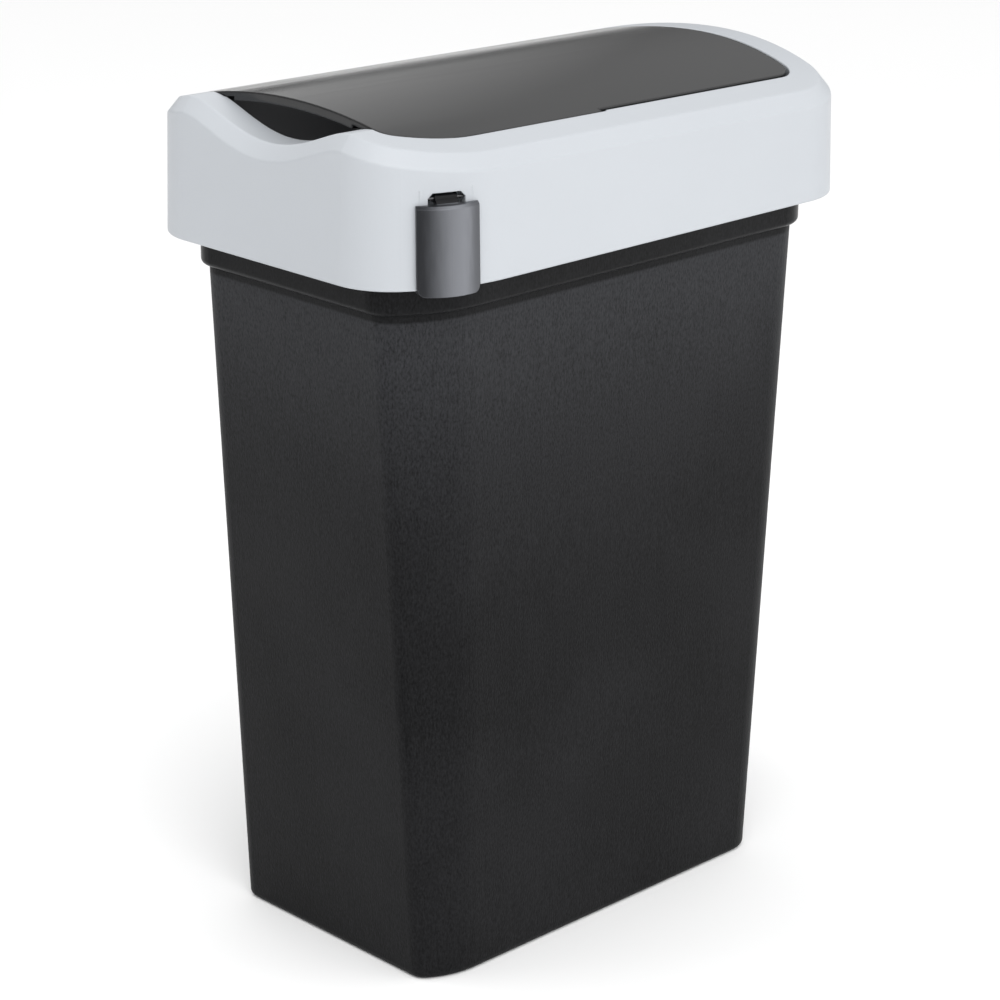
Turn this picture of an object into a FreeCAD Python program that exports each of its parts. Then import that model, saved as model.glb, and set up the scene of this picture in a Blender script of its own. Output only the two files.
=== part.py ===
import FreeCAD, Part
import math
import os

# Kitchen bin with a swinging lid, in millimetres.
# +Z is up, the front with the finger scoop faces -Y, the origin is the middle of the base on the floor.

Vec = FreeCAD.Vector
UP = Vec(0, 0, 1)

# Plan outline: a flat front, a tight bend that opens into a long sweep, straight sides, a bowed back.
front_bend_angle = 55.0
back_bow_angle = 15.0
arc_point_count = 13
cut_overrun = 5.0
height_tolerance = 0.02

# Body, measured on its outer faces.
body_base_width = 170.0
body_base_length = 277.5
body_base_bend_radius = 10.5
body_base_sweep_radius = 50.0
body_base_back_radius = 18.0
body_top_width = 177.0
body_top_length = 320.5
body_top_bend_radius = 14.5
body_top_sweep_radius = 76.0
body_top_back_radius = 22.0
body_wall = 2.2
body_floor = 3.0
body_foot_width = 8.5
body_foot_height = 2.0
body_base_rounding = 4.0

# Collar band round the mouth of the body.
collar_low_height = 387.5
collar_height = 28.0
collar_step = 4.5
collar_wall = 2.4
collar_rounding = 3.2
collar_top_height = collar_low_height + collar_height

# Rim frame: its outline runs round the collar at an even distance.
rim_overhang = 17.5
rim_overlap = 9.5
rim_front_height = 83.5
rim_wall = 2.5
rim_skin = 3.0
rim_draft_share = 0.028
rim_chamfer_width = 6.2
rim_chamfer_drop = 8.2
rim_crease_rounding = 1.0
rim_shoulder_rounding = 1.0
rim_edge_rounding = 1.0
rounding_step_count = 3
throat_wall = 2.5
throat_clearance = 3.1
throat_reach = 7.0
rib_thickness = 2.2
rib_tooth_clearance = 0.5
rim_reach = collar_step + rim_overhang
rim_width = body_top_width + 2 * rim_reach
rim_length = body_top_length + 2 * rim_reach
rim_sweep_radius = body_top_sweep_radius + rim_reach
rim_low_height = collar_top_height - rim_overlap
rim_shoulder_inset = rim_draft_share * rim_front_height + rim_chamfer_width
throat_inset = rim_overhang + collar_wall + throat_clearance + throat_wall
throat_low_height = collar_top_height - throat_reach

# Crown that the top of the rim and the lid both follow: a cylinder that dips towards the back.
crown_radius = 328.0
crown_dip_share = 0.017
crown_front_height = rim_low_height + rim_front_height

# Finger scoop in the front of the rim.
scoop_depth = 21.0
scoop_sharpness = 1.5

# Lid.
lid_thickness = 2.7
lid_seat_clearance = 0.3
lid_seam = 0.5
lid_notch_gap = 3.6
lid_overlap = 1.0
lid_back_gap = 2.2
lid_lip_thickness = 2.2
lid_lip_width = 7.0
lid_lip_share = 0.74
pocket_width_share = 0.88
pocket_depth = 27.0
pocket_wall = 2.8
pocket_front_clearance = 2.2
pocket_drop = 40.0
lid_front_inset = throat_inset - lid_overlap
lid_seat_wall = 2.2
lid_seat_floor = 2.2
lid_seat_drop = lid_thickness + lid_seat_clearance
lid_seat_outer_inset = lid_front_inset - lid_seam - lid_seat_wall

# Lid pivot.
pivot_back_of_front = 176.0
pivot_drop = 11.0
pivot_pin_radius = 3.5
pivot_pin_fit = 0.03
pivot_running_clearance = 0.06
pivot_boss_radius = 6.5
pivot_boss_length = 6.0
pivot_ear_radius = 8.5
pivot_ear_thickness = 3.5
pivot_ear_clearance = 1.0
pivot_notch_lead = 10.0

# Corner clip.
clip_heading = 69.2
clip_width = 34.0
clip_rise = 44.0
clip_thickness = 2.2
clip_bulge = 4.2
clip_clearance = 0.4
clip_drop_below_rim = 2.4
clip_hook_height = 1.7
clip_hook_reach = 4.0
clip_corner_radius = 3.5
clip_top_bevel = 1.4
clip_axis_rise = 2.4
clip_axis_inset = 5.0
clip_barrel_radius = 2.4
clip_barrel_length = 12.0
clip_neck_height = 4.0
clip_neck_thickness = 2.2
clip_pin_radius = 1.2
clip_pin_clearance = 0.06
clip_pin_fit = 0.03
clip_lug_thickness = 4.0
clip_lug_gap = 4.6
clip_lug_setback = 2.3
clip_lug_depth = 6.0
clip_lug_height = 10.0
window_side_clearance = 4.2
window_low_clearance = 1.0
window_high_clearance = 0.9
window_shoulder_share = 0.75
clip_top_height = rim_low_height + clip_rise
clip_axis_height = clip_top_height + clip_axis_rise


# Plan outline geometry

def plan(width, length, bend_radius, sweep_radius, back_radius):
    """Arc centres and radii of an outline that is symmetric about the YZ plane."""
    half_width = width / 2
    half_length = length / 2
    bend = math.radians(front_bend_angle)
    bow = math.radians(back_bow_angle)
    flat = half_width - bend_radius * math.sin(bend) - sweep_radius * (1 - math.sin(bend))
    bow_radius = back_radius + (half_width - back_radius) / math.sin(bow)
    bend_y = bend_radius - half_length
    sweep_x = half_width - sweep_radius
    sweep_y = bend_y + (sweep_radius - bend_radius) * math.cos(bend)
    corner_y = half_length - bow_radius + (bow_radius - back_radius) * math.cos(bow)
    corner_x = half_width - back_radius
    bend_deg = front_bend_angle
    bow_deg = back_bow_angle
    return {
        "flat": flat,
        "half_width": half_width,
        "half_length": half_length,
        "arcs": {
            1: ((flat, bend_y), bend_radius, 0.0, bend_deg),
            2: ((sweep_x, sweep_y), sweep_radius, bend_deg, 90.0),
            4: ((corner_x, corner_y), back_radius, 90.0, 180.0 - bow_deg),
            5: ((0.0, half_length - bow_radius), bow_radius, 180.0 - bow_deg, 180.0 + bow_deg),
            6: ((-corner_x, corner_y), back_radius, 180.0 + bow_deg, 270.0),
            8: ((-sweep_x, sweep_y), sweep_radius, 270.0, 360.0 - bend_deg),
            9: ((-flat, bend_y), bend_radius, 360.0 - bend_deg, 360.0),
        },
    }


SEGMENTS = range(10)
STRAIGHT_SIDES = (3, 7)
FRONT = 0


def arc_point(arc, share, inset):
    """Point on an arc of the outline, a share of the way round it, moved inwards by the inset."""
    (x, y), radius, start, end = arc
    heading = math.radians(start + (end - start) * share)
    return (x + (radius - inset) * math.sin(heading), y - (radius - inset) * math.cos(heading))


def plan_point(outline, segment, share, inset):
    arcs = outline["arcs"]
    if segment in arcs:
        return arc_point(arcs[segment], share, inset)
    before = arc_point(arcs[(segment - 1) % len(SEGMENTS)], 1.0, inset)
    after = arc_point(arcs[(segment + 1) % len(SEGMENTS)], 0.0, inset)
    return tuple(a + (b - a) * share for a, b in zip(before, after))


def flat_wire(outline, inset, height):
    """Closed outline of lines and arcs at one height."""
    edges = []
    for segment in SEGMENTS:
        ends = [Vec(*plan_point(outline, segment, share, inset), height) for share in (0.0, 0.5, 1.0)]
        if segment in outline["arcs"]:
            edges.append(Part.Arc(*ends).toShape())
        else:
            edges.append(Part.LineSegment(ends[0], ends[2]).toShape())
    return Part.Wire(edges)


def prism(outline, inset, low, high):
    face = Part.Face(flat_wire(outline, inset, low))
    return face.extrude(UP * (high - low))


def tapered(low_outline, low_inset, low, high_outline, high_inset, high):
    wires = [flat_wire(low_outline, low_inset, low), flat_wire(high_outline, high_inset, high)]
    return Part.makeLoft(wires, True, True)


# Crown geometry

def crown_height(x, y):
    """Height of the crown over a plan point."""
    stretch = math.sqrt(1 + crown_dip_share ** 2)
    ridge = crown_front_height - crown_dip_share * (y + rim_length / 2)
    return ridge + (math.sqrt(crown_radius ** 2 - x ** 2) - crown_radius) * stretch


def below_crown(offset):
    """Solid that fills the crown's cylinder, its surface moved out by the offset."""
    reach = rim_length * 2
    dip = math.atan(crown_dip_share)
    axis = Vec(0, math.cos(dip), -math.sin(dip))
    across = Vec(0, math.sin(dip), math.cos(dip))
    start = Vec(0, -rim_length / 2, crown_front_height) - across * crown_radius - axis * (reach / 2)
    return Part.makeCylinder(crown_radius + offset, reach, start, axis)


def scoop(x, flat):
    share = max(0.0, 1 - (x / flat) ** 2)
    return scoop_depth * share ** scoop_sharpness


# Body

body_base = plan(body_base_width, body_base_length, body_base_bend_radius, body_base_sweep_radius,
                 body_base_back_radius)
body_top = plan(body_top_width, body_top_length, body_top_bend_radius, body_top_sweep_radius,
                body_top_back_radius)


def edges_at_height(shape, height):
    found = []
    for edge in shape.Edges:
        box = edge.BoundBox
        if max(abs(box.ZMin - height), abs(box.ZMax - height)) < height_tolerance:
            found.append(edge)
    return found


def make_body():
    wall = tapered(body_base, 0, 0, body_top, 0, collar_low_height)
    wall = wall.makeFillet(body_base_rounding, edges_at_height(wall, 0))
    band = prism(body_top, -collar_step, collar_low_height, collar_top_height)
    band = band.makeFillet(collar_rounding, edges_at_height(band, collar_low_height))
    step_height = collar_low_height + collar_wall
    inside = tapered(body_base, body_wall, body_floor, body_top, body_wall, step_height)
    mouth = prism(body_top, collar_wall - collar_step, step_height, collar_top_height + cut_overrun)
    recess = prism(body_base, body_foot_width, -cut_overrun, body_foot_height)
    floor_pad = prism(body_base, body_foot_width - body_wall, 0, body_foot_height + body_floor)
    shell = wall.fuse(band).cut(inside).cut(mouth)
    return shell.fuse(floor_pad).cut(recess).removeSplitter()


# Rim frame

rim = plan(rim_width, rim_length, body_top_bend_radius + rim_reach, rim_sweep_radius,
           body_top_back_radius + rim_reach)


def rim_top(segment, share, inset):
    """Height of the top of the rim frame over its outline."""
    x, y = plan_point(rim, segment, share, inset)
    height = crown_height(x, y)
    if segment == FRONT:
        height -= scoop(x, rim["flat"])
    return height


def skirt_inset(height):
    return rim_draft_share * (height - rim_low_height)


def strip_edge(point, segment):
    """One edge of the rim's profile along one segment of the outline."""
    count = 2 if segment in STRAIGHT_SIDES else arc_point_count
    shares = [i / (count - 1) for i in range(count)]
    points = []
    for share in shares:
        inset, level = point(segment, share)
        points.append(Vec(*plan_point(rim, segment, share, inset), level))
    if count == 2:
        return Part.LineSegment(*points).toShape()
    curve = Part.BSplineCurve()
    curve.interpolate(Points=points, Parameters=shares)
    return curve.toShape()


def strip_solid(profile):
    """Closed ring whose profile is a loop of points, each a function of the place on the outline."""
    faces = []
    for segment in SEGMENTS:
        edges = [strip_edge(point, segment) for point in profile]
        for first, second in zip(edges, edges[1:] + edges[:1]):
            faces.append(Part.makeRuledSurface(first, second))
    shell = Part.makeShell(faces)
    shell.sewShape()
    solid = Part.Solid(shell)
    if solid.Volume < 0:
        solid.reverse()
    return solid


def at_height(value):
    return lambda segment, share: value


def under_top(inset, drop):
    return lambda segment, share: rim_top(segment, share, inset) - drop


def fixed_point(inset, height):
    return lambda segment, share: (inset, height(segment, share))


def skirt_point(wall, height):
    def point(segment, share):
        level = height(segment, share)
        return skirt_inset(level) + wall, level
    return point


def rounded(before, corner, after, radius):
    """Points that round a corner of the profile; the radius is measured along both sides of it."""
    def towards(start, end):
        share = radius / math.dist(start, end)
        return [a + (b - a) * share for a, b in zip(start, end)]

    def step(t):
        def point(segment, share):
            middle = corner(segment, share)
            first = towards(middle, before(segment, share))
            last = towards(middle, after(segment, share))
            return tuple((1 - t) ** 2 * a + 2 * t * (1 - t) * m + t ** 2 * b
                         for a, m, b in zip(first, middle, last))
        return point
    return [step(i / rounding_step_count) for i in range(rounding_step_count + 1)]


def rim_outside():
    """Outer profile of the frame: skirt, chamfer, top band and throat, its edges rounded."""
    inner_foot = skirt_point(rim_wall, at_height(rim_low_height))
    foot = skirt_point(0, at_height(rim_low_height))
    crease = skirt_point(0, under_top(rim_shoulder_inset, rim_chamfer_drop))
    shoulder = fixed_point(rim_shoulder_inset, under_top(rim_shoulder_inset, 0))
    brink = fixed_point(throat_inset, under_top(throat_inset, 0))
    end = fixed_point(throat_inset, at_height(throat_low_height))
    return (rounded(inner_foot, foot, crease, rim_edge_rounding)
            + rounded(foot, crease, shoulder, rim_crease_rounding)
            + rounded(crease, shoulder, brink, rim_shoulder_rounding)
            + rounded(shoulder, brink, end, rim_edge_rounding) + [end])


def rim_inside():
    """Profile of the hollow in the frame; beside the throat it leaves the material of the lid's seat."""
    shoulder_inset = rim_shoulder_inset + rim_wall
    throat_outer_inset = throat_inset - throat_wall
    seat_depth = lid_seat_drop + lid_seat_floor
    return [
        skirt_point(rim_wall, at_height(rim_low_height)),
        skirt_point(rim_wall, under_top(rim_shoulder_inset, rim_chamfer_drop + rim_skin / 2)),
        fixed_point(shoulder_inset, under_top(shoulder_inset, rim_skin)),
        fixed_point(lid_seat_outer_inset, under_top(lid_seat_outer_inset, rim_skin)),
        fixed_point(lid_seat_outer_inset, under_top(lid_seat_outer_inset, seat_depth)),
        fixed_point(throat_outer_inset, under_top(throat_outer_inset, seat_depth)),
        fixed_point(throat_outer_inset, at_height(throat_low_height)),
    ]


def rim_shell():
    return strip_solid(rim_outside() + rim_inside()[::-1])


def local_frame(segment, share, inset):
    """Point on the rim's outline with its outward and forward directions."""
    x, y = plan_point(rim, segment, share, inset)
    x_in, y_in = plan_point(rim, segment, share, inset + rim_wall)
    outward = Vec(x - x_in, y - y_in, 0).normalize()
    return Vec(x, y, 0), outward, UP.cross(outward)


def local_box(origin, outward, along, out_range, along_range, height_range):
    """Box set out along the local directions of the outline."""
    corners = []
    for out, side in ((0, 0), (1, 0), (1, 1), (0, 1)):
        point = origin + outward * out_range[out] + along * along_range[side]
        corners.append(Vec(point.x, point.y, height_range[0]))
    wire = Part.makePolygon(corners + corners[:1])
    return Part.Face(wire).extrude(UP * (height_range[1] - height_range[0]))


# Places of the seat ribs: segment of the outline and share of the way along it.
rib_shares = (
    (0, 0.2), (0, 0.5), (0, 0.8), (1, 0.5), (3, 0.06), (3, 0.62), (3, 0.94),
    (4, 0.5), (5, 0.25), (5, 0.75), (6, 0.5), (7, 0.06), (7, 0.38), (7, 0.94), (9, 0.5),
)


def rim_ribs():
    """Ribs across the hollow frame; they stand on the body's mouth and their teeth centre it."""
    half_wall = rim_wall / 2
    top_drop = rim_skin / 2
    core = strip_solid([
        skirt_point(half_wall, at_height(collar_top_height)),
        skirt_point(half_wall, under_top(rim_shoulder_inset, rim_chamfer_drop + top_drop)),
        fixed_point(rim_shoulder_inset + half_wall, under_top(rim_shoulder_inset + half_wall, top_drop)),
        fixed_point(throat_inset - half_wall, under_top(throat_inset - half_wall, top_drop)),
        fixed_point(throat_inset - half_wall, at_height(collar_top_height)),
    ])
    mouth_inset = collar_wall - collar_step + rib_tooth_clearance
    tooth_room = prism(body_top, mouth_inset, throat_low_height, collar_top_height)
    half = rib_thickness / 2
    high = crown_front_height + cut_overrun
    ribs = []
    for segment, share in rib_shares:
        origin, outward, along = local_frame(segment, share, 0)
        depth = (-(throat_inset - half_wall), 0)
        upper = local_box(origin, outward, along, depth, (-half, half), (collar_top_height, high))
        lower = local_box(origin, outward, along, depth, (-half, half),
                          (throat_low_height, collar_top_height))
        ribs.append(upper.common(core).fuse(lower.common(tooth_room)))
    return ribs


# Lid pivot and clip places

pivot_y = pivot_back_of_front - rim_length / 2
throat_x = rim_width / 2 - throat_inset
pivot_height = crown_height(throat_x, pivot_y) - pivot_drop


def pivot_cylinder(radius, inner_x, outer_x):
    return Part.makeCylinder(radius, outer_x - inner_x, Vec(inner_x, pivot_y, pivot_height), Vec(1, 0, 0))


def mirrored(shape):
    return shape.mirror(Vec(0, 0, 0), Vec(1, 0, 0))


clip_share = (clip_heading - front_bend_angle) / (90.0 - front_bend_angle)
clip_origin, clip_outward, clip_along = local_frame(2, clip_share, 0)
clip_axis = clip_origin - clip_outward * clip_axis_inset + UP * clip_axis_height
window_half_width = clip_barrel_length / 2 + window_side_clearance
window_low_height = clip_top_height - clip_neck_height - window_low_clearance
window_high_height = clip_axis_height + clip_barrel_radius + window_high_clearance
lug_span = clip_barrel_length / 2 + clip_lug_gap + clip_lug_thickness


def clip_cylinder(radius, half_length):
    start = clip_axis - clip_along * half_length
    return Part.makeCylinder(radius, half_length * 2, start, clip_along)


def clip_window():
    """Opening in the skirt for the clip's hinge, narrower at its top."""
    shoulder_height = window_low_height + (window_high_height - window_low_height) * window_shoulder_share
    top_half_width = window_half_width * window_shoulder_share
    places = (
        (-window_half_width, window_low_height), (window_half_width, window_low_height),
        (window_half_width, shoulder_height), (top_half_width, window_high_height),
        (-top_half_width, window_high_height), (-window_half_width, shoulder_height),
    )
    start = clip_origin + clip_outward * cut_overrun
    corners = [start + clip_along * side + UP * height for side, height in places]
    depth = cut_overrun + clip_axis_inset + clip_lug_depth
    return Part.Face(Part.makePolygon(corners + corners[:1])).extrude(clip_outward * -depth)


def clip_lugs():
    lugs = []
    inner = clip_lug_setback + clip_lug_depth
    low = clip_axis_height - clip_lug_height / 2
    for side in (-1, 1):
        near = side * (lug_span - clip_lug_thickness)
        far = side * lug_span
        lugs.append(local_box(clip_origin, clip_outward, clip_along, (-inner, -clip_lug_setback),
                              (min(near, far), max(near, far)), (low, low + clip_lug_height)))
    return lugs


def make_rim():
    frame = rim_shell()
    additions = rim_ribs()
    boss = pivot_cylinder(pivot_boss_radius, throat_x + throat_wall / 2,
                          throat_x + throat_wall + pivot_boss_length)
    frame = frame.fuse(additions + [boss, mirrored(boss)] + clip_lugs())
    bore = pivot_cylinder(pivot_pin_radius + pivot_running_clearance, throat_x - cut_overrun,
                          throat_x + throat_wall + pivot_boss_length + cut_overrun)
    pin_hole = clip_cylinder(clip_pin_radius + clip_pin_fit, lug_span + cut_overrun)
    return frame.cut([bore, mirrored(bore), clip_window(), pin_hole, lid_seat()])


# Lid

notch_y = pivot_y - pivot_notch_lead


def front_part(inset, back_y):
    """Upright block over the rim's opening from the front to a line across it."""
    low = throat_low_height
    high = crown_front_height + cut_overrun * 2
    block = Part.makeBox(rim_width, rim_length, high - low, Vec(-rim_width / 2, back_y - rim_length, low))
    return prism(rim, inset, low, high).common(block)


def lid_seat():
    """Recess in the top of the frame that the front half of the lid lies in, flush with the crown."""
    room = front_part(lid_front_inset - lid_seam, notch_y + lid_notch_gap)
    return room.cut(below_crown(-lid_seat_drop))


def lid_outline_solid():
    """Plan of the lid: wide in front of the pivot, where it lies in its seat, and clear of the throat behind."""
    high = crown_front_height + cut_overrun * 2
    narrow = prism(rim, throat_inset + lid_back_gap, throat_low_height, high)
    return narrow.fuse(front_part(lid_front_inset, notch_y)).removeSplitter()


def lid_lip():
    """Thicker edge that the fingers lift, over the scoop only."""
    half_width = rim["flat"] * lid_lip_share
    front_y = lid_front_inset - rim_length / 2
    depth = lid_lip_width
    block = Part.makeBox(half_width * 2, depth, crown_front_height - throat_low_height,
                         Vec(-half_width, front_y, throat_low_height + cut_overrun))
    return block.common(below_crown(-lid_thickness / 2)).cut(below_crown(-lid_thickness - lid_lip_thickness))


def finger_pocket():
    """Wall behind the scoop, hollow towards the front."""
    front_y = throat_inset + pocket_front_clearance - rim_length / 2
    back_y = front_y + pocket_depth
    half_width = rim["flat"] * pocket_width_share
    low = crown_front_height - pocket_drop
    walls = []
    for wall in (0, pocket_wall):
        points = [Vec(-half_width - wall, front_y, low), Vec(0, back_y + wall, low),
                  Vec(half_width + wall, front_y, low)]
        arc = Part.Arc(*points).toShape()
        chord = Part.LineSegment(points[2], points[0]).toShape()
        walls.append(Part.Face(Part.Wire([arc, chord])).extrude(UP * pocket_drop))
    return walls[1].cut(walls[0]).common(below_crown(-lid_thickness / 2))


def pivot_ear():
    outer_x = throat_x - lid_back_gap - pivot_ear_clearance
    inner_x = outer_x - pivot_ear_thickness
    plate = Part.makeBox(pivot_ear_thickness, pivot_ear_radius * 2, crown_front_height - pivot_height,
                         Vec(inner_x, pivot_y - pivot_ear_radius, pivot_height))
    ear = plate.fuse(pivot_cylinder(pivot_ear_radius, inner_x, outer_x))
    ear = ear.common(below_crown(-lid_thickness / 2))
    return ear.cut(pivot_cylinder(pivot_pin_radius + pivot_pin_fit, inner_x - cut_overrun, outer_x + cut_overrun))


def make_lid():
    outline = lid_outline_solid()
    skin = outline.common(below_crown(0)).cut(below_crown(-lid_thickness))
    ear = pivot_ear()
    return skin.fuse([lid_lip(), finger_pocket(), ear, mirrored(ear)])


def make_pivot_pin():
    inner_x = throat_x - lid_back_gap - pivot_ear_clearance - pivot_ear_thickness
    outer_x = throat_x + throat_wall + pivot_boss_length - pivot_ear_clearance
    return pivot_cylinder(pivot_pin_radius, inner_x, outer_x)


# Corner clip

def clip_plate(low, high, inner_offset, outer_offsets):
    """Plate on the sweep of the corner, bulged in its middle; offsets are measured out from the skirt."""
    arc = rim["arcs"][2]
    half_share = math.degrees(clip_width / 2 / rim_sweep_radius) / (90.0 - front_bend_angle)
    shares = (clip_share - half_share, clip_share, clip_share + half_share)
    wires = []
    for height, edge_offset in zip((low, high), outer_offsets):
        rows = []
        for offsets in ((edge_offset, edge_offset + clip_bulge, edge_offset), (inner_offset,) * 3):
            rows.append([Vec(*arc_point(arc, share, skirt_inset(height) - offset), height)
                         for share, offset in zip(shares, offsets)])
        out_row, in_row = rows
        wires.append(Part.Wire([
            Part.Arc(*out_row).toShape(),
            Part.LineSegment(out_row[2], in_row[2]).toShape(),
            Part.Arc(*in_row[::-1]).toShape(),
            Part.LineSegment(in_row[0], out_row[0]).toShape(),
        ]))
    return Part.makeLoft(wires, True, True)


def rounded_corner_room(low, high):
    """Block that gives the clip's face its rounded lower corners."""
    half = clip_width / 2 + clip_thickness
    reach = clip_thickness + clip_bulge + clip_hook_reach + cut_overrun * 2
    start = clip_origin - clip_outward * reach
    half_chord = rim_sweep_radius * math.sin(clip_width / 2 / rim_sweep_radius)
    radius = clip_corner_radius
    slope = radius * (1 - math.sqrt(0.5))

    def place(side, height):
        return start + clip_along * side + UP * height

    edges = []
    top = high + cut_overrun
    bottom = low
    edges.append(Part.LineSegment(place(half, top), place(-half, top)).toShape())
    edges.append(Part.LineSegment(place(-half, top), place(-half, bottom + radius)).toShape())
    edges.append(Part.LineSegment(place(-half, bottom + radius), place(-half_chord, bottom + radius)).toShape())
    edges.append(Part.Arc(place(-half_chord, bottom + radius), place(-half_chord + slope, bottom + slope),
                          place(-half_chord + radius, bottom)).toShape())
    edges.append(Part.LineSegment(place(-half_chord + radius, bottom), place(half_chord - radius, bottom)).toShape())
    edges.append(Part.Arc(place(half_chord - radius, bottom), place(half_chord - slope, bottom + slope),
                          place(half_chord, bottom + radius)).toShape())
    edges.append(Part.LineSegment(place(half_chord, bottom + radius), place(half, bottom + radius)).toShape())
    edges.append(Part.LineSegment(place(half, bottom + radius), place(half, top)).toShape())
    return Part.Face(Part.Wire(edges)).extrude(clip_outward * (reach * 2))


def clip_neck():
    """Arm from the plate through the window to the hinge barrel."""
    half = clip_barrel_length / 2
    outer = clip_clearance + clip_neck_thickness - clip_top_bevel - skirt_inset(clip_top_height)
    places = (
        (outer, clip_top_height - clip_neck_height),
        (outer, clip_top_height),
        (-clip_axis_inset, clip_axis_height + clip_barrel_radius),
        (-clip_axis_inset, clip_axis_height - clip_barrel_radius),
        (-skirt_inset(clip_top_height), clip_top_height - clip_neck_height),
    )
    start = clip_origin - clip_along * half
    corners = [start + clip_outward * out + UP * height for out, height in places]
    neck = Part.Face(Part.makePolygon(corners + corners[:1])).extrude(clip_along * (half * 2))
    return neck.fuse(clip_cylinder(clip_barrel_radius, half))


def make_clip():
    low = rim_low_height - clip_drop_below_rim
    bevel_height = clip_top_height - clip_top_bevel
    outer = clip_clearance + clip_thickness
    plate = clip_plate(low, bevel_height, clip_clearance, (outer, outer))
    bevel = clip_plate(bevel_height, clip_top_height, clip_clearance, (outer, outer - clip_top_bevel))
    hook = clip_plate(low, low + clip_hook_height, -clip_hook_reach, (outer, outer))
    face = plate.fuse([bevel, hook]).common(rounded_corner_room(low, clip_top_height))
    clip = face.fuse(clip_neck())
    return clip.cut(clip_cylinder(clip_pin_radius + clip_pin_clearance, lug_span))


def make_clip_pin():
    return clip_cylinder(clip_pin_radius, lug_span)


def build():
    right_pivot_pin = make_pivot_pin()
    return {
        "bin_body": make_body(),
        "rim_frame": make_rim(),
        "lid": make_lid(),
        "pivot_pin_right": right_pivot_pin,
        "pivot_pin_left": mirrored(right_pivot_pin),
        "corner_clip": make_clip(),
        "clip_pin": make_clip_pin(),
    }


os.makedirs("parts", exist_ok=True)
print("lid pivot", [round(value, 3) for value in (pivot_y, pivot_height)])
print("clip axis", [round(value, 3) for value in clip_axis], [round(value, 6) for value in clip_along])
for name, shape in build().items():
    print(name, "solids", len(shape.Solids), "valid", shape.isValid(), "volume", round(shape.Volume))
    shape.exportStep("parts/" + name + ".step")
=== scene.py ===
import math

import bpy
from mathutils import Matrix, Vector

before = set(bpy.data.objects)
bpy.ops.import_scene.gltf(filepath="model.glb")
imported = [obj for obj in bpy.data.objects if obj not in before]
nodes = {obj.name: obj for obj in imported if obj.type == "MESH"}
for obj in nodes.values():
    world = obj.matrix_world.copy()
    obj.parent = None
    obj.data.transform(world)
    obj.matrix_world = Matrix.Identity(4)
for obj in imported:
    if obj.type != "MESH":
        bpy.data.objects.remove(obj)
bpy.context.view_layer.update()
scene = bpy.context.scene


# small helpers for node trees

def fill(tree, node, inputs):
    # an input gets a plain value or the output of another node
    for key, value in inputs.items():
        if isinstance(value, bpy.types.NodeSocket):
            tree.links.new(value, node.inputs[key])
        else:
            node.inputs[key].default_value = value


def addNode(tree, kind, settings=None, inputs=None):
    node = tree.nodes.new(kind)
    for key, value in (settings or {}).items():
        setattr(node, key, value)
    fill(tree, node, inputs or {})
    return node


def newMaterial(name):
    material = bpy.data.materials.new(name)
    material.use_nodes = True
    tree = material.node_tree
    return material, tree, tree.nodes["Principled BSDF"]


def objectPoint(tree, scale=(1, 1, 1), turn=(0, 0, 0)):
    # place on the piece, stretched per axis
    point = addNode(tree, "ShaderNodeTexCoord").outputs["Object"]
    mapping = addNode(tree, "ShaderNodeMapping", inputs={"Vector": point, "Scale": scale, "Rotation": turn})
    return mapping.outputs["Vector"]


def axesOf(tree, vector):
    node = addNode(tree, "ShaderNodeSeparateXYZ", inputs={"Vector": vector})
    return node.outputs["X"], node.outputs["Y"], node.outputs["Z"]


def dotOf(tree, first, second):
    node = addNode(tree, "ShaderNodeVectorMath", {"operation": "DOT_PRODUCT"}, {0: first, 1: second})
    return node.outputs["Value"]


def noise(tree, vector, scale=1.0, detail=2.0, roughness=0.5):
    texture = addNode(tree, "ShaderNodeTexNoise", inputs={
        "Vector": vector, "Scale": scale, "Detail": detail, "Roughness": roughness})
    return texture.outputs["Fac"]


def spread(tree, value, low, high, fromLow=0.3, fromHigh=0.7, way="LINEAR"):
    # takes the span fromLow to fromHigh to the span low to high, and stops at its ends
    node = addNode(tree, "ShaderNodeMapRange", {"interpolation_type": way}, {
        "Value": value, "From Min": fromLow, "From Max": fromHigh, "To Min": low, "To Max": high})
    return node.outputs["Result"]


def reckon(tree, kind, first, second=0.0):
    return addNode(tree, "ShaderNodeMath", {"operation": kind}, {0: first, 1: second}).outputs["Value"]


def times(tree, first, second):
    return reckon(tree, "MULTIPLY", first, second)


def addedBy(tree, shares, first, second):
    # sum of two patterns, each times its share
    return reckon(tree, "ADD", times(tree, first, shares[0]), times(tree, second, shares[1]))


def colourBetween(tree, factor, first, second):
    # first is a colour or the output of another node
    if not isinstance(first, bpy.types.NodeSocket):
        first = (*first, 1)
    node = addNode(tree, "ShaderNodeMix", {"data_type": "RGBA"}, {0: factor, 6: first, 7: (*second, 1)})
    return node.outputs[2]


def numberBetween(tree, factor, first, second):
    node = addNode(tree, "ShaderNodeMix", {"data_type": "FLOAT"}, {0: factor, 2: first, 3: second})
    return node.outputs[0]


def bump(tree, height, size, under=None):
    # size is the bump's strength and depth, under is the normal that it starts from
    strength, depth = size
    inputs = {"Height": height, "Strength": strength, "Distance": depth}
    if under is not None:
        inputs["Normal"] = under
    return addNode(tree, "ShaderNodeBump", inputs=inputs).outputs["Normal"]


def softEdge(tree, radius, samples=6):
    # rounds the look of an edge without moving it
    return addNode(tree, "ShaderNodeBevel", {"samples": samples}, {"Radius": radius}).outputs["Normal"]


def dress(material, *names):
    for name in names:
        slots = nodes[name].data.materials
        slots.clear()
        slots.append(material)


# black body: spark-eroded grain with faint upright streaks, smoother on the collar band, with a painted sheen
# towards the mouth and a painted shade line under the collar

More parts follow.
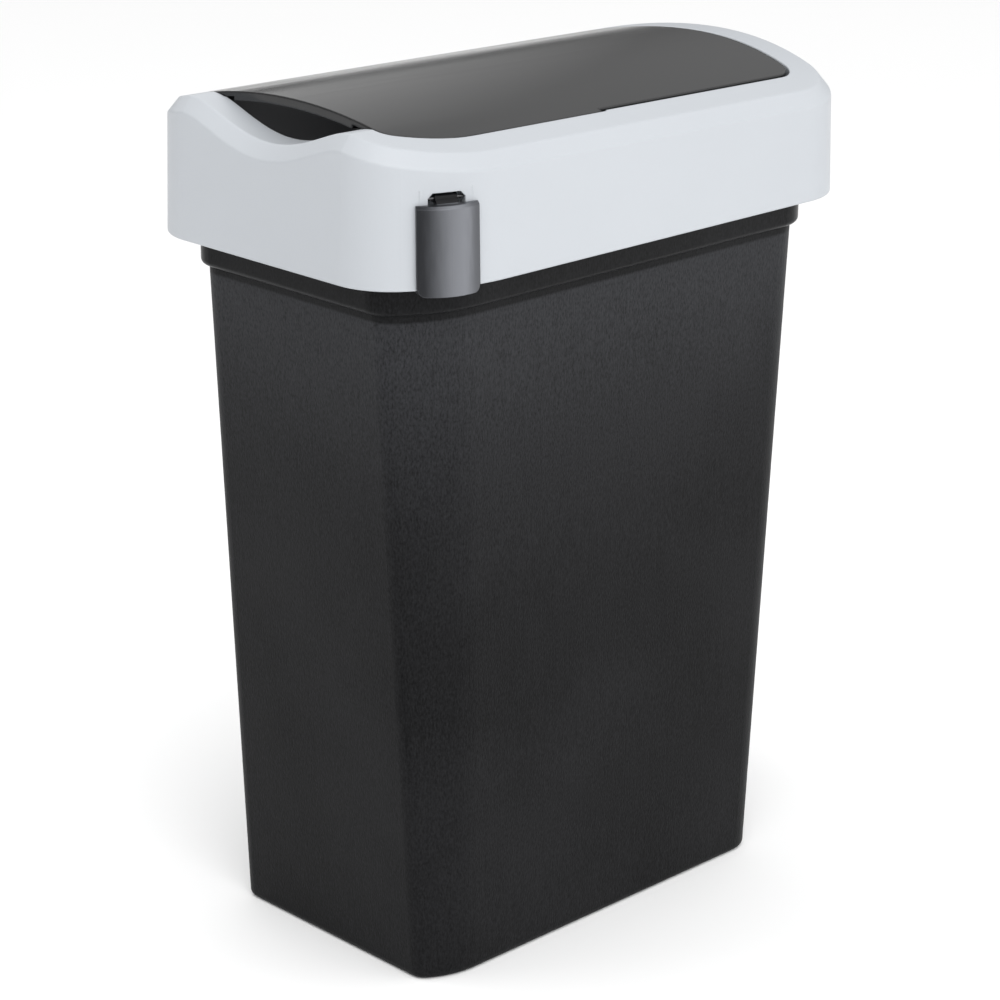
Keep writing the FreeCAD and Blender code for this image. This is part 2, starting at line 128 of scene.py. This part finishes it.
bodyLook = {
    "dark": (0.0020, 0.0021, 0.0023),
    "light": (0.0118, 0.0120, 0.0131),
    "mouth": (0.0335, 0.0345, 0.0380),   # painted sheen, paler towards the mouth
    "mouthFrom": 0.20,   # height that it starts at
    "mouthPower": 2.0,
    "mouthSpeckle": (0.35, 1.25),   # how unevenly the grain takes it
    "speckleSpan": (0.40, 0.85),
    "paintedShadeLineFrom": 0.3822,   # painted shade line: the painted sheen stops from here up
    "paintedShadeLineFade": 0.0015,
    "collarFrom": 0.3860,
    "collarFade": 0.002,
    "collarRoughness": 0.30,
    "collarGrain": 0.25,   # share of the grain that is left on the collar
    "roughness": (0.40, 0.50),
    "specular": 0.09,
    "streakScale": (950.0, 950.0, 26.0),
    "grainScale": (1050.0, 1050.0, 460.0),
    "cloudScale": 9.0,
    "speckleShares": (0.25, 1.0),   # streaks and grain
    "toneShares": (1.0, 0.6),   # speckle and clouds
    "toneSpan": (0.70, 1.15),
    "bump": (0.60, 0.0003),
    "edge": 0.0008,
}


def makeBodyPlastic(look):
    material, tree, shader = newMaterial("bodyPlastic")
    streaks = noise(tree, objectPoint(tree, look["streakScale"]), detail=3.0, roughness=0.6)
    grain = noise(tree, objectPoint(tree, look["grainScale"]), roughness=0.6)
    cloud = noise(tree, objectPoint(tree), look["cloudScale"], detail=3.0)
    speckle = addedBy(tree, look["speckleShares"], streaks, grain)
    tone = spread(tree, addedBy(tree, look["toneShares"], speckle, cloud), 0.0, 1.0, *look["toneSpan"])
    face = colourBetween(tree, tone, look["dark"], look["light"])
    _, _, height = axesOf(tree, objectPoint(tree))
    collar = spread(tree, height, 0.0, 1.0, look["collarFrom"], look["collarFrom"] + look["collarFade"])
    # painted sheen: paler by a power of the height above mouthFrom; the painted sheen stops in the painted
    # shade line under the collar and on the collar
    # painted shade: no sheen in a line under the collar, where shade falls
    paintedShadeLine = spread(tree, height, 0.0, 1.0, look["paintedShadeLineFrom"], look["paintedShadeLineFrom"] + look["paintedShadeLineFade"])
    mouthSheenRise = spread(tree, height, 0.0, 1.0, look["mouthFrom"], look["collarFrom"])
    mouthSheenRisen = reckon(tree, "POWER", mouthSheenRise, look["mouthPower"])
    paintedMouthSheenShare = times(tree, mouthSheenRisen, reckon(tree, "SUBTRACT", 1.0, paintedShadeLine))
    uneven = spread(tree, speckle, *look["mouthSpeckle"], *look["speckleSpan"])
    # the grain is shallow on the collar
    kept = reckon(tree, "ADD", times(tree, collar, look["collarGrain"] - 1.0), 1.0)
    satin = spread(tree, speckle, *look["roughness"])
    fill(tree, shader, {
        "Base Color": colourBetween(tree, times(tree, paintedMouthSheenShare, uneven), face, look["mouth"]),
        "Roughness": numberBetween(tree, collar, satin, look["collarRoughness"]),
        "Normal": bump(tree, times(tree, speckle, kept), look["bump"], softEdge(tree, look["edge"])),
        "Specular IOR Level": look["specular"],
    })
    return material


# light grey rim: satin moulding, barely mottled

rimLook = {
    "dark": (0.434, 0.456, 0.484),
    "light": (0.464, 0.486, 0.514),
    "roughness": (0.36, 0.46),
    "cloudScale": 6.0,
    "grainScale": 1100.0,
    "toneShares": (0.8, 0.2),   # clouds and grain
    "bump": (0.06, 0.0002),
    "edge": 0.0007,
}


def makeRimPlastic(look):
    material, tree, shader = newMaterial("rimPlastic")
    cloud = noise(tree, objectPoint(tree), look["cloudScale"], detail=3.0)
    grain = noise(tree, objectPoint(tree), look["grainScale"])
    tone = spread(tree, addedBy(tree, look["toneShares"], cloud, grain), 0.0, 1.0)
    fill(tree, shader, {
        "Base Color": colourBetween(tree, tone, look["dark"], look["light"]),
        "Roughness": spread(tree, cloud, *look["roughness"]),
        "Normal": bump(tree, grain, look["bump"], softEdge(tree, look["edge"])),
    })
    return material


# black lid: polished face with the slight waves and wipe marks of a moulding, satin wall in the finger
# pocket, painted paler as painted light on its shaded wall

lidLook = {
    "dark": (0.0085, 0.0087, 0.0092),
    "light": (0.0120, 0.0122, 0.0130),
    # paler colour: painted light on the pocket's shaded wall
    "pocket": (0.110, 0.111, 0.116),
    "roughness": (0.12, 0.20),
    "ior": 1.50,
    "pocketRoughness": 0.42,
    "pocketBack": -0.1235,   # the pocket's wall lies in front of this y
    "pocketTop": 0.4795,   # and below this height
    "pocketFade": 0.001,
    "pocketSteep": (0.55, 0.75),   # upward part of the normal, from wall to lid face
    "waveScale": 14.0,
    "wipeScale": (60.0, 9.0, 60.0),
    "wipeTurn": 0.35,
    "dustScale": 2600.0,
    "polishShares": (0.85, 0.15),   # wipe marks and dust
    "bump": (0.10, 0.0006),
    "edge": 0.0018,
}


def makeLidPlastic(look):
    material, tree, shader = newMaterial("lidPlastic")
    wave = noise(tree, objectPoint(tree), look["waveScale"], detail=1.0)
    wiped = objectPoint(tree, look["wipeScale"], (0, 0, look["wipeTurn"]))
    wipe = noise(tree, wiped, detail=4.0, roughness=0.65)
    dust = noise(tree, objectPoint(tree), look["dustScale"], detail=1.0)
    face = colourBetween(tree, spread(tree, wipe, 0.0, 1.0), look["dark"], look["light"])
    polish = spread(tree, addedBy(tree, look["polishShares"], wipe, dust), *look["roughness"])
    # the pocket's wall is what is far forward, low and steep
    _, along, height = axesOf(tree, objectPoint(tree))
    _, _, upward = axesOf(tree, addNode(tree, "ShaderNodeTexCoord").outputs["Normal"])
    ahead = spread(tree, along, 1.0, 0.0, look["pocketBack"] - look["pocketFade"], look["pocketBack"])
    under = spread(tree, height, 1.0, 0.0, look["pocketTop"] - look["pocketFade"], look["pocketTop"])
    steep = spread(tree, upward, 1.0, 0.0, *look["pocketSteep"])
    pocket = times(tree, times(tree, ahead, under), steep)
    # the pocket's wall takes the paler colour, painted light, and the satin roughness
    fill(tree, shader, {
        "Base Color": colourBetween(tree, pocket, face, look["pocket"]),
        "Roughness": numberBetween(tree, pocket, polish, look["pocketRoughness"]),
        "Normal": bump(tree, wave, look["bump"], softEdge(tree, look["edge"])),
        "IOR": look["ior"],
    })
    return material


# graphite clip: satin paint with fine flakes, a painted sheen in its middle and painted highlights along its
# edges, a faint mould line down its middle, a hinge arm painted near-black as painted shade in its window

clipLook = {
    "dark": (0.020, 0.021, 0.023),
    "light": (0.034, 0.035, 0.039),
    # painted sheen: paler across the middle, standing in for reflection
    "paintedSheen": (0.198, 0.205, 0.223),
    "paintedSheenAcross": (-0.0150, 0.0050),   # grows from left of its middle
    "paintedSheenFades": (0.0050, 0.0170),   # and fades to its right edge
    "paintedSheenLeast": 0.45,   # down to this share
    "paintedSheenShift": 0.002,   # how far the strokes blur its ends
    "paintedEdgeHighlight": 0.55,   # share of the painted sheen on the edges, a painted edge highlight
    "paintedEdgeHighlightSpan": (0.80, 0.99),
    # painted shade: the arm sits in the clip's window and is painted near-black
    "arm": (0.005, 0.005, 0.006),
    "armFrom": 0.4500,   # the arm is above this height
    "armFade": 0.0004,
    "roughness": (0.30, 0.40),
    "metal": 0.80,
    "specular": 0.20,
    "middle": (0.1036, -0.1451),   # plan place of the mould line
    "across": (0.3551, 0.9348),   # plan direction across the face
    "lineWidth": 0.0004,
    "flakeScale": 3200.0,
    "strokeScale": (420.0, 420.0, 60.0),
    "toneShares": (0.7, 0.3),   # flakes and strokes
    "reliefShares": (0.25, 0.5),   # their sum and the mould line
    "bump": (0.12, 0.0003),
    "edge": 0.0007,
}


def makeClipPlastic(look):
    material, tree, shader = newMaterial("clipPlastic")
    flakes = noise(tree, objectPoint(tree), look["flakeScale"], roughness=0.7)
    strokes = noise(tree, objectPoint(tree, look["strokeScale"]), detail=3.0)
    tone = addedBy(tree, look["toneShares"], flakes, strokes)
    paint = colourBetween(tree, spread(tree, tone, 0.0, 1.0), look["dark"], look["light"])
    # distance across the face from its middle: dot((x, y) - middle, across)
    planX, planY, height = axesOf(tree, objectPoint(tree))
    offset = -look["middle"][0] * look["across"][0] - look["middle"][1] * look["across"][1]
    sideways = reckon(tree, "ADD", addedBy(tree, look["across"], planX, planY), offset)
    line = spread(tree, reckon(tree, "ABSOLUTE", sideways), 1.0, 0.0, 0.0, look["lineWidth"])
    # the arm above armFrom gets the near-black painted shade and no metal
    arm = spread(tree, height, 0.0, 1.0, look["armFrom"], look["armFrom"] + look["armFade"])
    # an edge is where the rounded normal leaves the flat one
    rounded = softEdge(tree, look["edge"])
    flat = addNode(tree, "ShaderNodeNewGeometry").outputs["True Normal"]
    paintedEdgeHighlight = spread(tree, dotOf(tree, rounded, flat), look["paintedEdgeHighlight"], 0.0, *look["paintedEdgeHighlightSpan"])
    paintedSheenPlace = reckon(tree, "ADD", sideways, times(tree, strokes, look["paintedSheenShift"]))
    grows = spread(tree, paintedSheenPlace, 0.0, 1.0, *look["paintedSheenAcross"], "SMOOTHSTEP")
    fades = spread(tree, paintedSheenPlace, 1.0, look["paintedSheenLeast"], *look["paintedSheenFades"], "SMOOTHSTEP")
    # painted sheen in the middle and painted highlight on the edges
    paintedSheenMask = reckon(tree, "MAXIMUM", times(tree, grows, fades), paintedEdgeHighlight)
    paintedSheen = colourBetween(tree, paintedSheenMask, paint, look["paintedSheen"])
    relief = addedBy(tree, look["reliefShares"], tone, line)
    fill(tree, shader, {
        "Base Color": colourBetween(tree, arm, paintedSheen, look["arm"]),
        "Roughness": spread(tree, strokes, *look["roughness"]),
        "Metallic": spread(tree, arm, look["metal"], 0.0, 0.0, 1.0),
        "Normal": bump(tree, relief, look["bump"], rounded),
        "Specular IOR Level": look["specular"],
    })
    return material


# lid pivots: black moulding with fine rings

pivotLook = {
    "dark": (0.012, 0.012, 0.013),
    "light": (0.020, 0.020, 0.022),
    "roughness": (0.28, 0.44),
    "grainScale": 1800.0,
    "ringScale": (900.0, 60.0, 60.0),
    "bump": (0.1, 0.0002),
}


def makePinPlastic(look):
    material, tree, shader = newMaterial("pinPlastic")
    grain = noise(tree, objectPoint(tree), look["grainScale"])
    rings = noise(tree, objectPoint(tree, look["ringScale"]))
    fill(tree, shader, {
        "Base Color": colourBetween(tree, spread(tree, grain, 0.0, 1.0), look["dark"], look["light"]),
        "Roughness": spread(tree, rings, *look["roughness"]),
        "Normal": bump(tree, rings, look["bump"]),
    })
    return material


# clip pin: dull drawn steel wire

wireLook = {
    "dark": (0.085, 0.085, 0.088),
    "light": (0.150, 0.150, 0.155),
    "roughness": (0.22, 0.4),
    "drawnScale": (2400.0, 2400.0, 2400.0),
    "bump": (0.1, 0.0001),
}


def makePinSteel(look):
    material, tree, shader = newMaterial("pinSteel")
    drawn = noise(tree, objectPoint(tree, look["drawnScale"]), detail=3.0, roughness=0.6)
    fill(tree, shader, {
        "Base Color": colourBetween(tree, spread(tree, drawn, 0.0, 1.0), look["dark"], look["light"]),
        "Roughness": spread(tree, drawn, *look["roughness"]),
        "Normal": bump(tree, drawn, look["bump"]),
        "Metallic": 1.0,
    })
    return material


dress(makeBodyPlastic(bodyLook), "bin_body")
dress(makeRimPlastic(rimLook), "rim_frame")
dress(makeLidPlastic(lidLook), "lid")
dress(makeClipPlastic(clipLook), "corner_clip")
dress(makePinPlastic(pivotLook), "pivot_pin_right", "pivot_pin_left")
dress(makePinSteel(wireLook), "clip_pin")
print("materials on all solids")


# studio floor: pale flat square, with faint cloudiness in its paint

floorLook = {
    "colour": (0.97, 0.97, 0.97),
    "cloudShare": 0.985,   # tone of the clouds
    "cloudScale": 2.0,
    "roughness": 0.7,
    "specular": 0.2,
    "reach": 40.0,
}


def makeFloor(look):
    reach = look["reach"]
    corners = [(-reach, -reach, 0), (reach, -reach, 0), (reach, reach, 0), (-reach, reach, 0)]
    mesh = bpy.data.meshes.new("floor")
    mesh.from_pydata(corners, [], [(0, 1, 2, 3)])
    floor = bpy.data.objects.new("floor", mesh)
    scene.collection.objects.link(floor)
    material, tree, shader = newMaterial("floorPaint")
    cloud = noise(tree, objectPoint(tree), look["cloudScale"], detail=3.0)
    clouded = tuple(c * look["cloudShare"] for c in look["colour"])
    fill(tree, shader, {
        "Base Color": colourBetween(tree, cloud, look["colour"], clouded),
        "Roughness": look["roughness"],
        "Specular IOR Level": look["specular"],
    })
    mesh.materials.append(material)


# studio light: a sky that is brighter to the right, one large soft box and three panels

skyLook = {
    "strength": (0.11, 1.36),   # on the dim side and on the bright side
    "span": (-0.35, 0.9),   # where the dim side ends and the bright side starts
    "towards": (0.60, 0.10, 0.80),   # the side that the sky is brightest on
}

lampLook = {
    # place, what it faces, width, height and power of each lamp
    "lamps": {
        "softBox": ((1.9, -1.2, 2.3), (0, 0, 0.25), 2.4, 2.4, 35.0),
        "sidePanel": ((1.45, 1.02, 0.36), (0, 0, 0.30), 0.8, 0.7, 2.2),
        "topPanel": ((-0.9, -1.0, 1.7), (0, 0, 0.40), 1.0, 1.0, 7.0),
        "leftPanel": ((-0.80, 0.35, 0.86), (0, 0.35, 0.80), 1.4, 0.6, 2.1),
    },
    "unmirrored": ["topPanel"],   # lamps that glossy faces don't show
    "faded": {"leftPanel": (0.05, 0.60)},   # lamps that fade across their width, from dark to full
}


def makeSky(look):
    # strength rises evenly from the dim side to the bright side, by dot(direction, towards)
    world = bpy.data.worlds.new("studioSky")
    world.use_nodes = True
    tree = world.node_tree
    direction = addNode(tree, "ShaderNodeTexCoord").outputs["Generated"]
    side = dotOf(tree, direction, Vector(look["towards"]).normalized())
    fill(tree, tree.nodes["Background"], {
        "Color": (1, 1, 1, 1),
        "Strength": spread(tree, side, *look["strength"], *look["span"]),
    })
    scene.world = world


def fadeLamp(data, span):
    # strength grows across the lamp's width, over this span of it
    data.use_nodes = True
    tree = data.node_tree
    across, _, _ = axesOf(tree, addNode(tree, "ShaderNodeNewGeometry").outputs["Parametric"])
    fill(tree, tree.nodes["Emission"], {"Strength": spread(tree, across, 0.0, 1.0, *span)})


def makeLamps(look):
    for name, (place, facing, width, height, power) in look["lamps"].items():
        data = bpy.data.lights.new(name, "AREA")
        data.shape = "RECTANGLE"
        data.size = width
        data.size_y = height
        data.energy = power
        if name in look["faded"]:
            fadeLamp(data, look["faded"][name])
        lamp = bpy.data.objects.new(name, data)
        lamp.location = place
        lamp.visible_glossy = name not in look["unmirrored"]
        lamp.rotation_euler = (Vector(facing) - lamp.location).to_track_quat("-Z", "Y").to_euler()
        scene.collection.objects.link(lamp)


makeFloor(floorLook)
makeSky(skyLook)
makeLamps(lampLook)


# camera at the photograph's angle

viewpoint = {
    "azimuth": 45.609,
    "elevation": 19.398,
    "distance": 1.72601,
    "target": (0.04377, -0.04865, 0.25428),
    "roll": 0.336,
    "focalShare": 3.11237,   # focal length as a share of the picture's width
    "sensorWidth": 36.0,
    "sees": (0.05, 120.0),   # nearest and farthest distance
}


def makeCamera(look):
    data = bpy.data.cameras.new("photoView")
    data.sensor_width = look["sensorWidth"]
    data.lens = look["focalShare"] * look["sensorWidth"]
    data.clip_start, data.clip_end = look["sees"]
    camera = bpy.data.objects.new("photoView", data)
    azimuth, elevation = math.radians(look["azimuth"]), math.radians(look["elevation"])
    level = math.cos(elevation)
    back = Vector((math.sin(azimuth) * level, -math.cos(azimuth) * level, math.sin(elevation)))
    turn = (-back).to_track_quat("-Z", "Y").to_matrix() @ Matrix.Rotation(math.radians(look["roll"]), 3, "Z")
    place = Vector(look["target"]) + back * look["distance"]
    camera.matrix_world = Matrix.Translation(place) @ turn.to_4x4()
    scene.collection.objects.link(camera)
    scene.camera = camera


makeCamera(viewpoint)
scene.view_settings.view_transform = "Standard"
print("studio and camera ready")
